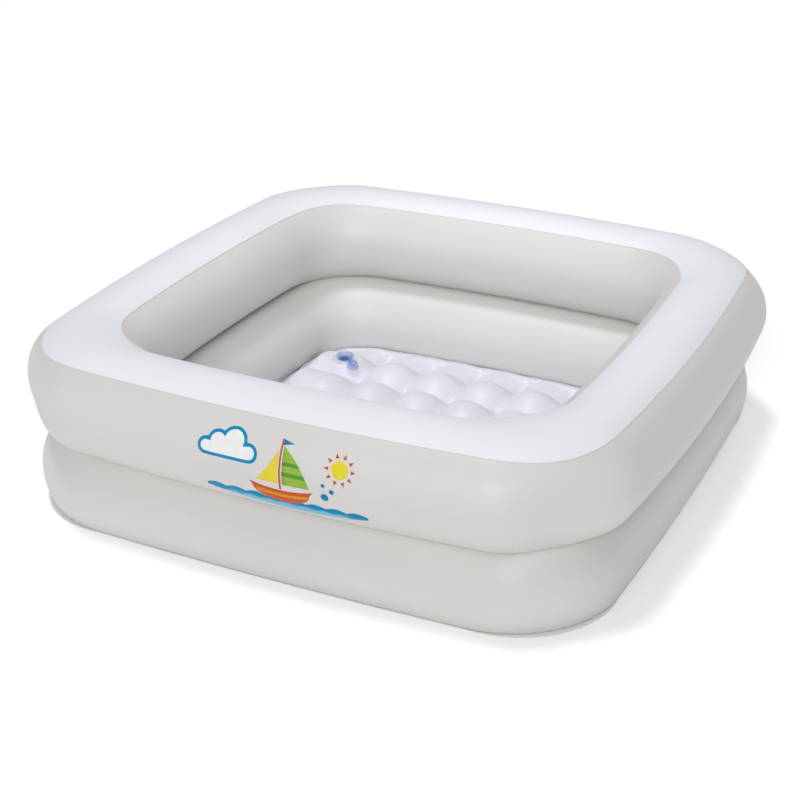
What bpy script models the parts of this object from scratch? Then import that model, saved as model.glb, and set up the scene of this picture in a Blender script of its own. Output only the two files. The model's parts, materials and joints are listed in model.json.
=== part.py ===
"""An inflatable baby tub of thin vinyl sheet.

Two square air rings stand one on the other. A padded floor closes them, its top sheet tied down
to the base sheet in a pattern of round bubbles. Each of the three air chambers has a valve: a
moulded body, a check flap inside its stem, and a stopper on a strap. The floor's stopper lies
open beside its valve.

Metres, +Z up. The origin lies on the ground under the middle of the tub, and its front is -Y.
"""

import math
from typing import NamedTuple

import bmesh
import bpy
import numpy as np
from mathutils import Matrix, Vector
from mathutils.geometry import delaunay_2d_cdt

# Sheet and welds
SHEET = 0.0003
SEAT_GAP = 0.0003
WELD_WIDTH = 0.006
BASE_LIP = 0.005
SIDE_BOW_RADIUS = 3.2
FOOT_BOW_RADIUS = 6.9

# Weld lines: half width at mid side, corner radius, height, and how the corners rise or drop
RIM_OUTER_HALF = 0.400
RIM_OUTER_CORNER = 0.1305
RIM_OUTER_HEIGHT = 0.2235
RIM_OUTER_CORNER_DROP = 0.0036
RIM_WIDTH = 0.0812
RIM_INNER_CORNER = 0.1165
RIM_INNER_HEIGHT = 0.2244
RIM_INNER_CORNER_RISE = 0.0032
CREASE_INSET = 0.0105
CREASE_OUTER_CORNER = 0.106
CREASE_OUTER_HEIGHT = 0.0997
CREASE_OUTER_CORNER_RISE = 0.0059
CREASE_WIDTH = 0.0715
CREASE_INNER_CORNER = 0.1257
CREASE_RISE_INWARDS = 0.0083
FOOT_SPREAD = 0.0008
FOOT_OUTER_CORNER = 0.1427
FOOT_WIDTH = 0.1333
FOOT_INNER_CORNER = 0.105
RIM_INNER_HALF = RIM_OUTER_HALF - RIM_WIDTH
CREASE_OUTER_HALF = RIM_OUTER_HALF - CREASE_INSET
CREASE_INNER_HALF = CREASE_OUTER_HALF - CREASE_WIDTH
FOOT_OUTER_HALF = RIM_OUTER_HALF + FOOT_SPREAD
FOOT_INNER_HALF = FOOT_OUTER_HALF - FOOT_WIDTH
CREASE_INNER_HEIGHT = CREASE_OUTER_HEIGHT + CREASE_RISE_INWARDS

# How far each wall bulges past the straight line between its welds, at mid side and at a corner
UPPER_OUTER_BULGE = 0.0385
UPPER_OUTER_CORNER_BULGE = 0.0224
TOP_CROWN = 0.0143
UPPER_INNER_BULGE = 0.034
UPPER_INNER_CORNER_BULGE = 0.030
LOWER_OUTER_BULGE = 0.0176
LOWER_OUTER_CORNER_BULGE = 0.0165
LOWER_INNER_BULGE = 0.037
LOWER_INNER_CORNER_BULGE = 0.034

# Padded floor
FLOOR_EDGE_GAP = 0.0055
FLOOR_SHOULDER_INSET = 0.016
FLOOR_SHOULDER_HEIGHT = 0.0205
FLOOR_EDGE_BULGE = 0.004
BUBBLE_COLUMN_PITCH = 0.0765
BUBBLE_ROW_PITCH = 0.0745
BUBBLE_ROW_SHIFT = -0.0133
BUBBLE_COLUMNS = 6
BUBBLE_ROWS = 6
BUBBLE_CREST = 0.031
BUBBLE_SADDLE = 0.018
BUBBLE_SHOULDER_SHARE = 0.6
BUBBLE_SIDES = 8
WELD_DOT_SPREAD = 0.009
FLOOR_FADE = 0.030
FLOOR_POINT_MARGIN = 0.009

# Air valves, each in its own frame: z out of the sheet, x towards the strap's root
FLANGE_RADIUS = 0.0205
FLANGE_THICKNESS = 0.001
COLLAR_RADIUS = 0.0128
COLLAR_FOOT_RADIUS = 0.0108
COLLAR_HEIGHT = 0.007
COLLAR_FLARE_HEIGHT = 0.0026
COLLAR_ROUNDING = 0.0008
BORE_RADIUS = 0.0069
MOUTH_RADIUS = 0.008
MOUTH_DEPTH = 0.002
STEM_WALL = 0.0014
STEM_DEPTH = 0.008
STRAP_REACH = 0.0155
STRAP_WIDTH = 0.004
STRAP_THICKNESS = 0.0008
STRAP_FOLD_GAP = 0.0005
CAP_RADIUS = 0.0092
CAP_THICKNESS = 0.0012
CAP_ROUNDING = 0.0005
PLUG_CLEARANCE = 0.0003
PLUG_TAPER = 0.001
PLUG_LENGTH = 0.006
PLUG_HOLLOW_RADIUS = 0.0036
PLUG_HOLLOW_DEPTH = 0.0045
FLAP_RADIUS = 0.008
FLAP_THICKNESS = 0.0008
FLAP_LUG_REACH = 0.0093
FLAP_LUG_HEIGHT = 0.0025

# Where the valves are
FLOOR_VALVE_FROM_SIDE = 0.074
FLOOR_VALVE_FROM_BACK = 0.102
FLOOR_VALVE_PAD_HEIGHT = 0.0275
FLOOR_VALVE_PAD_MARGIN = 0.002
FLOOR_VALVE_PAD_FADE = 0.010
FLOOR_STRAP_BEARING_DEG = -39.0
STOPPER_OPEN_DEG = 208.0

# Facets
SIDE_STEPS = 4
CORNER_STEPS = 8
FLOOR_SIDE_STEPS = 6
FLOOR_CORNER_STEPS = 6
WALL_FACETS = 7
TOP_FACETS = 5
FLOOR_RISE_FACETS = 2
ROUND_STEPS = 24

# Overrun of every cutter past what it cuts
CUT_OVERRUN = 0.004

UP = np.array((0.0, 0.0, 1.0))


class WeldLine(NamedTuple):
    """A closed line round the tub, along which sheets are welded together."""

    half_width: float
    corner_radius: float
    bow_radius: float
    height: float
    corner_rise: float = 0.0
    steps: tuple = (SIDE_STEPS, CORNER_STEPS)


class Panel(NamedTuple):
    """The arc that an inflated sheet takes between two weld lines, one for each column."""

    centre: np.ndarray
    radius: np.ndarray
    half_turn: np.ndarray
    out: np.ndarray
    along: np.ndarray


def clear_scene():
    for obj in list(bpy.data.objects):
        bpy.data.objects.remove(obj, do_unlink=True)


def new_collection(name):
    collection = bpy.data.collections.new(name)
    bpy.context.scene.collection.children.link(collection)
    return collection


def new_material(name, colour, roughness, alpha=1.0):
    material = bpy.data.materials.new(name)
    material.use_nodes = True
    shader = material.node_tree.nodes["Principled BSDF"]
    shader.inputs["Base Color"].default_value = (*colour, 1.0)
    shader.inputs["Roughness"].default_value = roughness
    shader.inputs["Metallic"].default_value = 0.0
    shader.inputs["Alpha"].default_value = alpha
    return material


# Plan outlines


def side_turn(line):
    """Half the angle by which a side's long arc turns before the corner's arc takes over."""
    reach = line.bow_radius - line.half_width
    return math.pi / 4 - math.asin(reach / (math.sqrt(2) * (line.bow_radius - line.corner_radius)))


def outline(line):
    """Points, outward normals and corner shares of a weld line, anticlockwise from the +X side."""
    turn = side_turn(line)
    core = (line.bow_radius - line.corner_radius) * math.sin(turn)
    side_steps, corner_steps = line.steps
    side_angles = np.linspace(-turn, turn, side_steps, endpoint=False)
    corner_angles = np.linspace(turn, math.pi / 2 - turn, corner_steps, endpoint=False)
    points, normals, shares = [], [], []
    for quarter in range(4):
        angles = np.concatenate((side_angles, corner_angles)) + quarter * math.pi / 2
        across = np.stack((np.cos(angles), np.sin(angles)), axis=1)
        facing = np.array((math.cos(quarter * math.pi / 2), math.sin(quarter * math.pi / 2)))
        leftward = np.array((-facing[1], facing[0]))
        side = (line.half_width - line.bow_radius) * facing + line.bow_radius * across[:side_steps]
        corner = core * (facing + leftward) + line.corner_radius * across[side_steps:]
        points.append(np.concatenate((side, corner)))
        normals.append(across)
        shares.append(np.zeros(side_steps))
        shares.append(np.sin(math.pi * np.arange(corner_steps) / corner_steps) ** 2)
    return np.concatenate(points), np.concatenate(normals), np.concatenate(shares)


def ring(line, lift=0.0):
    """A weld line's points in space, and its outward normals, lifted straight up by lift."""
    plan, normals, shares = outline(line)
    heights = line.height + lift + line.corner_rise * shares
    return np.column_stack((plan, heights)), np.column_stack((normals, np.zeros(len(plan))))


def moved(line, inset, height, steps=(SIDE_STEPS, CORNER_STEPS)):
    """A parallel line, inset towards the middle of the tub, at its own height."""
    half_width, corner_radius = line.half_width - inset, line.corner_radius - inset
    return WeldLine(half_width, corner_radius, line.bow_radius - inset, height, steps=steps)


# Sections


def unit(vectors):
    return vectors / np.linalg.norm(vectors, axis=1, keepdims=True)


def panel(start, end, towards, side_bulge, corner_bulge):
    """The arcs from one row of points to another, bulging towards the given side."""
    chord = end - start
    along = unit(chord)
    out = unit(towards - np.sum(towards * along, axis=1, keepdims=True) * along)
    bulge = side_bulge + (corner_bulge - side_bulge) * corner_shares(len(chord))
    half_chord = np.linalg.norm(chord, axis=1, keepdims=True) / 2
    radius = (half_chord**2 + bulge**2) / (2 * bulge)
    half_turn = np.arcsin(half_chord / radius)
    centre = (start + end) / 2 + (bulge - radius) * out
    return Panel(centre, radius, half_turn, out, along)


def corner_shares(columns):
    """0 along the sides and rising to 1 at the middle of each corner, for the ring's columns."""
    shares = outline(rim_outer())[2][:, None]
    return shares if len(shares) == columns else np.zeros((columns, 1))


def arc_row(arc, share, lift=0.0):
    """The points at a share of the half turn, from -1 at the start to 1 at the end."""
    angle = arc.half_turn * share
    return arc.centre + (arc.radius + lift) * (np.cos(angle) * arc.out + np.sin(angle) * arc.along)


def arc_rows(arc, facets, lift=0.0):
    return [arc_row(arc, share, lift) for share in np.linspace(-1.0, 1.0, facets + 1)]


def lap_share(arc, length):
    """The share of the half turn that a stretch of the arc takes."""
    return length / (arc.radius * arc.half_turn)


# Weld lines of this tub


def rim_outer():
    return WeldLine(
        RIM_OUTER_HALF, RIM_OUTER_CORNER, SIDE_BOW_RADIUS, RIM_OUTER_HEIGHT, -RIM_OUTER_CORNER_DROP
    )


def rim_inner():
    return WeldLine(
        RIM_INNER_HALF, RIM_INNER_CORNER, SIDE_BOW_RADIUS, RIM_INNER_HEIGHT, RIM_INNER_CORNER_RISE
    )


def crease_outer():
    return WeldLine(
        CREASE_OUTER_HALF,
        CREASE_OUTER_CORNER,
        SIDE_BOW_RADIUS,
        CREASE_OUTER_HEIGHT,
        CREASE_OUTER_CORNER_RISE,
    )


def crease_inner():
    return WeldLine(CREASE_INNER_HALF, CREASE_INNER_CORNER, SIDE_BOW_RADIUS, CREASE_INNER_HEIGHT)


def foot_outer():
    return WeldLine(FOOT_OUTER_HALF, FOOT_OUTER_CORNER, FOOT_BOW_RADIUS, SHEET + SEAT_GAP)


def foot_inner():
    return WeldLine(FOOT_INNER_HALF, FOOT_INNER_CORNER, SIDE_BOW_RADIUS, SHEET + SEAT_GAP)


def floor_edge():
    steps = (FLOOR_SIDE_STEPS, FLOOR_CORNER_STEPS)
    return moved(foot_inner(), FLOOR_EDGE_GAP, SHEET + SEAT_GAP, steps)


def floor_shoulder():
    edge = floor_edge()
    return moved(edge, FLOOR_SHOULDER_INSET, FLOOR_SHOULDER_HEIGHT, edge.steps)


# Sheets


def add_mesh(name, points, faces, material, collection):
    mesh = bpy.data.meshes.new(name)
    mesh.from_pydata([tuple(point) for point in points], [], faces)
    mesh.materials.append(material)
    obj = bpy.data.objects.new(name, mesh)
    collection.objects.link(obj)
    return obj


def shade_round(obj, sharp_deg=40.0):
    obj.data.shade_smooth()
    obj.data.set_sharp_from_angle(angle=math.radians(sharp_deg))


def loft_faces(row_count, columns):
    """Quads between neighbouring rows, closed round the tub."""
    faces = []
    for row in range(row_count - 1):
        low, high = row * columns, (row + 1) * columns
        for column in range(columns):
            after = (column + 1) % columns
            faces.append((low + column, low + after, high + after, high + column))
    return faces


def add_thickness(obj, thickness, offset=-1.0):
    solid = obj.modifiers.new("Sheet thickness", "SOLIDIFY")
    solid.thickness = thickness
    solid.offset = offset
    solid.use_even_offset = True


def sheet_loft(name, rows, material, collection, thickness=SHEET, offset=-1.0):
    """A sheet through rows of points that go once round the ring's section, foot to foot."""
    points = np.concatenate(rows)
    obj = add_mesh(name, points, loft_faces(len(rows), len(rows[0])), material, collection)
    shade_round(obj)
    add_thickness(obj, thickness, offset)
    return obj


def crease_stack():
    """Half the height of the stack of three sheets that is welded in the crease."""
    return SHEET / 2 + SEAT_GAP


def crease_ties(lift):
    """Crease points of the outer and inner walls, and the ends of their welds on the partition."""
    outer, _ = ring(crease_outer(), lift)
    inner, _ = ring(crease_inner(), lift)
    across = unit(inner - outer)
    return outer, outer + WELD_WIDTH * across, inner, inner - WELD_WIDTH * across


def upper_outer_panel():
    start, normals = ring(crease_outer(), crease_stack())
    end, _ = ring(rim_outer())
    return panel(start, end, normals, UPPER_OUTER_BULGE, UPPER_OUTER_CORNER_BULGE)


def top_arc():
    start, _ = ring(rim_outer())
    end, _ = ring(rim_inner())
    return panel(start, end, np.tile(UP, (len(start), 1)), TOP_CROWN, TOP_CROWN)


def upper_inner_panel():
    start, normals = ring(rim_inner())
    end, _ = ring(crease_inner(), crease_stack())
    return panel(start, end, -normals, UPPER_INNER_BULGE, UPPER_INNER_CORNER_BULGE)


def lower_outer_panel():
    start, normals = ring(foot_outer())
    end, _ = ring(crease_outer(), -crease_stack())
    return panel(start, end, normals, LOWER_OUTER_BULGE, LOWER_OUTER_CORNER_BULGE)


def lower_inner_panel():
    start, normals = ring(crease_inner(), -crease_stack())
    end, _ = ring(foot_inner())
    return panel(start, end, -normals, LOWER_INNER_BULGE, LOWER_INNER_CORNER_BULGE)


def add_upper_walls(material, collection):
    """The grey walls of the upper ring, welded to the partition below and the top panel above."""
    _, outer_tie, _, inner_tie = crease_ties(crease_stack())
    crown = top_arc()
    tab = lap_share(crown, WELD_WIDTH)
    outer = [outer_tie] + arc_rows(upper_outer_panel(), WALL_FACETS) + [arc_row(crown, tab - 1.0)]
    inner = [arc_row(crown, 1.0 - tab)] + arc_rows(upper_inner_panel(), WALL_FACETS) + [inner_tie]
    return (
        sheet_loft("upper_outer_wall", outer, material, collection),
        sheet_loft("upper_inner_wall", inner, material, collection),
    )


def add_lower_walls(material, collection):
    """The grey walls of the lower ring, welded to the partition above and the base below."""
    _, outer_tie, _, inner_tie = crease_ties(-crease_stack())
    foot_out, out_normals = ring(foot_outer())
    foot_in, in_normals = ring(foot_inner())
    outer = [foot_out - WELD_WIDTH * out_normals]
    outer += arc_rows(lower_outer_panel(), WALL_FACETS) + [outer_tie]
    inner = [inner_tie] + arc_rows(lower_inner_panel(), WALL_FACETS)
    inner += [foot_in + WELD_WIDTH * in_normals]
    return (
        sheet_loft("lower_outer_wall", outer, material, collection),
        sheet_loft("lower_inner_wall", inner, material, collection),
    )


def add_top_panel(material, collection):
    """The white top, lying over the welded tabs of the two walls."""
    crown, lift = top_arc(), SEAT_GAP + SHEET
    between_tabs = 1.0 - lap_share(crown, WELD_WIDTH)
    rows = [arc_row(crown, -1.0, lift)]
    rows += [arc_row(crown, between_tabs * share, lift) for share in np.linspace(-1.0, 1.0, TOP_FACETS)]
    rows.append(arc_row(crown, 1.0, lift))
    return sheet_loft("top_panel", rows, material, collection)


def add_partition(material, collection):
    """The band between the two air rings, from the outer crease to the inner one."""
    rows = [ring(crease_outer())[0], ring(crease_inner())[0]]
    return sheet_loft("ring_partition", rows, material, collection, offset=0.0)


def add_base_sheet(material, collection):
    """The flat sheet under everything, whose lip sticks out past the lower ring."""
    points, _ = ring(moved(foot_outer(), -BASE_LIP, SHEET))
    obj = add_mesh("base_sheet", points, [tuple(range(len(points)))], material, collection)
    add_thickness(obj, SHEET)
    return obj


# Padded floor


def smooth_step(value):
    value = np.clip(value, 0.0, 1.0)
    return value * value * (3.0 - 2.0 * value)


def inset_from(line, x, y):
    """How far inside a weld line a point lies, taking its sides as straight."""
    core = line.half_width - line.corner_radius
    beyond = np.maximum(np.abs((x, y)) - core, 0.0)
    inner = min(max(abs(x), abs(y)) - core, 0.0)
    return line.corner_radius - math.hypot(*beyond) - inner


def bubble_place(index, count, pitch):
    return (index - (count - 1) / 2) * pitch


def column_place(index):
    return bubble_place(index, BUBBLE_COLUMNS, BUBBLE_COLUMN_PITCH)


def row_place(index):
    return bubble_place(index, BUBBLE_ROWS, BUBBLE_ROW_PITCH) + BUBBLE_ROW_SHIFT


def nearest_offset(position, pitch):
    return position - pitch * round(position / pitch)


def bubble_height(x, y):
    """Height of the tied-down sheet: round bubbles that meet in valleys, with a weld dot
    at every corner between four of them."""
    from_column = nearest_offset(x - column_place(0), BUBBLE_COLUMN_PITCH)
    from_row = nearest_offset(y - row_place(0), BUBBLE_ROW_PITCH)
    fall = (BUBBLE_CREST - BUBBLE_SADDLE) / (BUBBLE_ROW_PITCH / 2) ** 2
    round_top = BUBBLE_CREST - fall * (from_column**2 + from_row**2)
    half_column, half_row = BUBBLE_COLUMN_PITCH / 2, BUBBLE_ROW_PITCH / 2
    corner_height = BUBBLE_CREST - fall * (half_column**2 + half_row**2)
    dot = SHEET + SEAT_GAP + SHEET
    to_dot = math.hypot(half_column - abs(from_column), half_row - abs(from_row))
    return round_top - (corner_height - dot) * math.exp(-((to_dot / WELD_DOT_SPREAD) ** 2))


def floor_valve_place():
    """Plan position of the floor valve, near the back-left corner."""
    return FLOOR_VALVE_FROM_SIDE - FOOT_INNER_HALF, FOOT_INNER_HALF - FLOOR_VALVE_FROM_BACK


def floor_valve_distance(x, y):
    valve_x, valve_y = floor_valve_place()
    return math.hypot(x - valve_x, y - valve_y)


def floor_height(x, y):
    """Top surface of the padded floor, level at its edge and under the valve's flange."""
    from_rim = smooth_step(inset_from(floor_shoulder(), x, y) / FLOOR_FADE)
    height = FLOOR_SHOULDER_HEIGHT + (bubble_height(x, y) - FLOOR_SHOULDER_HEIGHT) * from_rim
    pad_radius = FLANGE_RADIUS + FLOOR_VALVE_PAD_MARGIN
    to_pad = smooth_step((floor_valve_distance(x, y) - pad_radius) / FLOOR_VALVE_PAD_FADE)
    return FLOOR_VALVE_PAD_HEIGHT + (height - FLOOR_VALVE_PAD_HEIGHT) * float(to_pad)


def circle_points(x, y, radius, count):
    angles = [math.tau * step / count for step in range(count)]
    return [(x + radius * math.cos(angle), y + radius * math.sin(angle)) for angle in angles]


def bubble_points():
    """Plan points of the quilting: each bubble's middle, its shoulder, and the lines between."""
    points = []
    shoulder = BUBBLE_SHOULDER_SHARE * BUBBLE_ROW_PITCH / 2
    for row in range(BUBBLE_ROWS):
        for column in range(BUBBLE_COLUMNS):
            points.append((column_place(column), row_place(row)))
            points += circle_points(column_place(column), row_place(row), shoulder, BUBBLE_SIDES)
    for row in range(2 * BUBBLE_ROWS + 1):
        for column in range(2 * BUBBLE_COLUMNS + 1):
            if row % 2 == 0 or column % 2 == 0:
                points.append((column_place((column - 1) / 2), row_place((row - 1) / 2)))
    return points


def floor_plan():
    """Plan points and triangles of the quilted field inside the floor's shoulder."""
    rim = [Vector(point[:2]) for point in ring(floor_shoulder())[0]]
    pad_radius = FLANGE_RADIUS + FLOOR_VALVE_PAD_MARGIN
    field = [
        (x, y)
        for x, y in bubble_points()
        if inset_from(floor_shoulder(), x, y) > FLOOR_POINT_MARGIN
        and floor_valve_distance(x, y) > pad_radius + FLOOR_VALVE_PAD_MARGIN
    ]
    field.append(floor_valve_place())
    field += circle_points(*floor_valve_place(), pad_radius, 2 * BUBBLE_SIDES)
    edges = [(index, (index + 1) % len(rim)) for index in range(len(rim))]
    found = delaunay_2d_cdt(rim + [Vector(point) for point in field], edges, [], 1, SEAT_GAP)
    return found[0], found[2], len(rim)


def add_floor_sheet(material, collection):
    """The floor's top sheet: quilted field, rounded edge, and the weld that ties it down."""
    plan, triangles, rim_count = floor_plan()
    points = [(point.x, point.y, floor_height(point.x, point.y)) for point in plan]
    points[:rim_count] = [tuple(point) for point in ring(floor_shoulder())[0]]
    edge, normals = ring(floor_edge())
    shoulder, _ = ring(floor_shoulder())
    rise = panel(edge, shoulder, normals + UP, FLOOR_EDGE_BULGE, FLOOR_EDGE_BULGE)
    rows = [edge - WELD_WIDTH * normals] + arc_rows(rise, FLOOR_RISE_FACETS)[:-1]
    start = len(points)
    for row in rows:
        points += [tuple(point) for point in row]
    faces = [tuple(face) for face in triangles]
    for low, high in loft_pairs(start, len(rows), rim_count):
        for column in range(rim_count):
            after = (column + 1) % rim_count
            faces.append((low + column, low + after, high + after, high + column))
    obj = add_mesh("floor_sheet", points, faces, material, collection)
    shade_round(obj)
    add_thickness(obj, SHEET)
    cut_hole(obj, floor_valve_frame())
    return obj


def loft_pairs(start, row_count, columns):
    """First points of each pair of neighbouring rows; the last row meets the field's rim."""
    firsts = [start + row * columns for row in range(row_count)] + [0]
    return list(zip(firsts[:-1], firsts[1:]))


# Valves


def frame_matrix(origin, out, towards_strap):
    """A frame on the sheet, with z out of it and x towards the strap's root."""
    z_axis = Vector(out).normalized()
    x_axis = Vector(towards_strap)
    x_axis = (x_axis - x_axis.dot(z_axis) * z_axis).normalized()
    y_axis = z_axis.cross(x_axis)
    turned = Matrix((x_axis, y_axis, z_axis)).transposed().to_4x4()
    return Matrix.Translation(Vector(origin)) @ turned


def floor_valve_frame():
    bearing = math.radians(FLOOR_STRAP_BEARING_DEG)
    origin = (*floor_valve_place(), FLOOR_VALVE_PAD_HEIGHT + SEAT_GAP)
    return frame_matrix(origin, UP, (math.cos(bearing), math.sin(bearing), 0.0))


def back_column(after_middle):
    """A column of the back wall, counted from the one at its middle."""
    return SIDE_STEPS + CORNER_STEPS + SIDE_STEPS // 2 + after_middle


def wall_valve_frame(wall, column):
    """A frame on the middle facet of the back wall, with the strap's root below the valve."""
    half_facet = 1.0 / WALL_FACETS
    low, high = arc_row(wall, -half_facet), arc_row(wall, half_facet)
    middle = (low[column] + low[column + 1] + high[column] + high[column + 1]) / 4
    sideways = low[column + 1] - low[column]
    out = np.cross(sideways, high[column] - low[column])
    out = out / np.linalg.norm(out)
    return frame_matrix(middle + SEAT_GAP * out, out, np.cross(sideways, out))


def wall_profile(wall, column, frame):
    """The wall's section in a valve's frame, as (x, z) at each fold between facets."""
    rows = [row[column : column + 2].mean(axis=0) for row in arc_rows(wall, WALL_FACETS)]
    local = [frame.inverted() @ Vector(point) for point in reversed(rows)]
    return [(point.x, point.z) for point in local]


def profile_height(profile, x):
    return float(np.interp(x, [point[0] for point in profile], [point[1] for point in profile]))


def add_cylinder(name, radius, low, high, frame, collection):
    """A cutter along a frame's z axis, from low to high."""
    mesh = bpy.data.meshes.new(name)
    shape = bmesh.new()
    bmesh.ops.create_cone(
        shape,
        cap_ends=True,
        segments=ROUND_STEPS,
        radius1=radius,
        radius2=radius,
        depth=high - low,
        matrix=Matrix.Translation((0.0, 0.0, (low + high) / 2)),
    )
    shape.to_mesh(mesh)
    shape.free()
    obj = bpy.data.objects.new(name, mesh)
    obj.matrix_world = frame
    collection.objects.link(obj)
    return hide_helper(obj)


def add_block(name, low, high, frame, collection):
    """A box between two corners, in a frame."""
    mesh = bpy.data.meshes.new(name)
    shape = bmesh.new()
    bmesh.ops.create_cube(shape, size=1.0)
    size = Vector(high) - Vector(low)
    bmesh.ops.scale(shape, vec=size, verts=shape.verts)
    bmesh.ops.translate(shape, vec=(Vector(high) + Vector(low)) / 2, verts=shape.verts)
    shape.to_mesh(mesh)
    shape.free()
    obj = bpy.data.objects.new(name, mesh)
    obj.matrix_world = frame
    collection.objects.link(obj)
    return hide_helper(obj)


def hide_helper(obj):
    obj.hide_render = True
    obj.display_type = "WIRE"
    return obj


def add_boolean(obj, operation, other):
    boolean = obj.modifiers.new(other.name, "BOOLEAN")
    boolean.operation = operation
    boolean.solver = "EXACT"
    boolean.object = other


def cut_hole(sheet, frame):
    """The hole in a sheet that a valve's stem passes through."""
    low, high = -STEM_DEPTH / 2, CUT_OVERRUN
    radius = BORE_RADIUS + STEM_WALL + SEAT_GAP
    hole = add_cylinder(sheet.name + "_hole", radius, low, high, frame, helpers)
    add_boolean(sheet, "DIFFERENCE", hole)


def add_turned(name, profile, closed, frame, material, collection):
    """A profile of (radius, height) turned about the frame's z axis."""
    mesh = bpy.data.meshes.new(name)
    points = [(radius, 0.0, height) for radius, height in profile]
    edges = [(index, index + 1) for index in range(len(points) - 1)]
    if closed:
        edges.append((len(points) - 1, 0))
    mesh.from_pydata(points, edges, [])
    mesh.materials.append(material)
    obj = bpy.data.objects.new(name, mesh)
    obj.matrix_world = frame
    collection.objects.link(obj)
    screw = obj.modifiers.new("Turned", "SCREW")
    screw.steps = ROUND_STEPS
    screw.render_steps = ROUND_STEPS
    screw.use_merge_vertices = True
    screw.merge_threshold = 0.00001
    screw.use_smooth_shade = True
    return obj


def tube_profile():
    """Section of the collar and stem, down the outside and back up the bore."""
    stem_radius = BORE_RADIUS + STEM_WALL
    foot = FLANGE_THICKNESS / 2
    return [
        (MOUTH_RADIUS, COLLAR_HEIGHT),
        (COLLAR_RADIUS - COLLAR_ROUNDING, COLLAR_HEIGHT),
        (COLLAR_RADIUS, COLLAR_HEIGHT - COLLAR_ROUNDING),
        (COLLAR_RADIUS, foot + COLLAR_FLARE_HEIGHT),
        (COLLAR_FOOT_RADIUS, foot),
        (stem_radius, foot),
        (stem_radius, -STEM_DEPTH),
        (BORE_RADIUS, -STEM_DEPTH),
        (BORE_RADIUS, COLLAR_HEIGHT - MOUTH_DEPTH),
    ]


def strap_height():
    """Height of the strap's middle, which is also the height of its fold, when plugged in."""
    return COLLAR_HEIGHT + SEAT_GAP + STRAP_THICKNESS / 2


def add_flange(name, profile, frame, material, collection):
    """A disc that lies on the sheet, folded where the sheet's facets meet."""
    mesh = bpy.data.meshes.new(name)
    shape = bmesh.new()
    bmesh.ops.create_circle(shape, cap_ends=True, segments=ROUND_STEPS, radius=FLANGE_RADIUS)
    for fold, _ in profile:
        if abs(fold) < FLANGE_RADIUS:
            everything = shape.verts[:] + shape.edges[:] + shape.faces[:]
            bmesh.ops.bisect_plane(shape, geom=everything, plane_co=(fold, 0, 0), plane_no=(1, 0, 0))
    for vert in shape.verts:
        vert.co.z = profile_height(profile, vert.co.x)
    shape.to_mesh(mesh)
    shape.free()
    mesh.materials.append(material)
    obj = bpy.data.objects.new(name, mesh)
    obj.matrix_world = frame
    collection.objects.link(obj)
    add_thickness(obj, FLANGE_THICKNESS, offset=1.0)
    return obj


def add_valve_body(name, profile, frame, material, collection):
    """Flange with the collar, the stem, the strap's post and the flap's lug."""
    body = add_flange(name, profile, frame, material, collection)
    stem_radius = BORE_RADIUS + STEM_WALL
    passage = (BORE_RADIUS + stem_radius) / 2
    opening = add_cylinder(name + "_passage", passage, -STEM_DEPTH, STEM_DEPTH, frame, helpers)
    add_boolean(body, "DIFFERENCE", opening)
    tube = add_turned(name + "_tube", tube_profile(), True, frame, material, helpers)
    add_boolean(body, "UNION", hide_helper(tube))
    half_strap = STRAP_WIDTH / 2
    post_foot = profile_height(profile, STRAP_REACH) + FLANGE_THICKNESS / 2
    post_top = strap_height() - STRAP_THICKNESS / 2 - STRAP_FOLD_GAP
    post = add_block(
        name + "_post",
        (STRAP_REACH - STRAP_THICKNESS / 2, -half_strap, post_foot),
        (STRAP_REACH + STRAP_THICKNESS / 2, half_strap, post_top),
        frame,
        helpers,
    )
    add_boolean(body, "UNION", post)
    lug = add_block(
        name + "_lug",
        (-FLAP_LUG_REACH, -half_strap, -STEM_DEPTH),
        (-passage, half_strap, FLAP_LUG_HEIGHT - STEM_DEPTH),
        frame,
        helpers,
    )
    add_boolean(body, "UNION", lug)


def stopper_profile():
    """Section of the cap and its tapered plug, hollow from below."""
    seat = COLLAR_HEIGHT + SEAT_GAP
    top = seat + CAP_THICKNESS
    plug_end = seat - PLUG_LENGTH
    plug_radius = BORE_RADIUS - PLUG_CLEARANCE
    return [
        (0.0, top),
        (CAP_RADIUS - CAP_ROUNDING, top),
        (CAP_RADIUS, top - CAP_ROUNDING),
        (CAP_RADIUS, seat),
        (plug_radius, seat),
        (plug_radius - PLUG_TAPER, plug_end + CAP_ROUNDING),
        (plug_radius - PLUG_TAPER - CAP_ROUNDING, plug_end),
        (PLUG_HOLLOW_RADIUS, plug_end),
        (PLUG_HOLLOW_RADIUS, plug_end + PLUG_HOLLOW_DEPTH),
        (0.0, plug_end + PLUG_HOLLOW_DEPTH),
    ]


def add_stopper(name, frame, open_deg, material, collection):
    """Stopper and strap in one, turned back about the strap's fold when it lies open."""
    fold = Vector((STRAP_REACH, 0.0, strap_height()))
    swing = Matrix.Translation(fold) @ Matrix.Rotation(math.radians(open_deg), 4, "Y")
    from_fold = frame @ swing
    stopper = add_turned(
        name, stopper_profile(), False, from_fold @ Matrix.Translation(-fold), material, collection
    )
    half_strap = STRAP_WIDTH / 2
    half_thick = STRAP_THICKNESS / 2
    strap = add_block(
        name + "_strap",
        (CAP_RADIUS - STRAP_REACH - CAP_THICKNESS, -half_strap, -half_thick),
        (half_thick, half_strap, half_thick),
        from_fold,
        helpers,
    )
    add_boolean(stopper, "UNION", strap)


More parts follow.
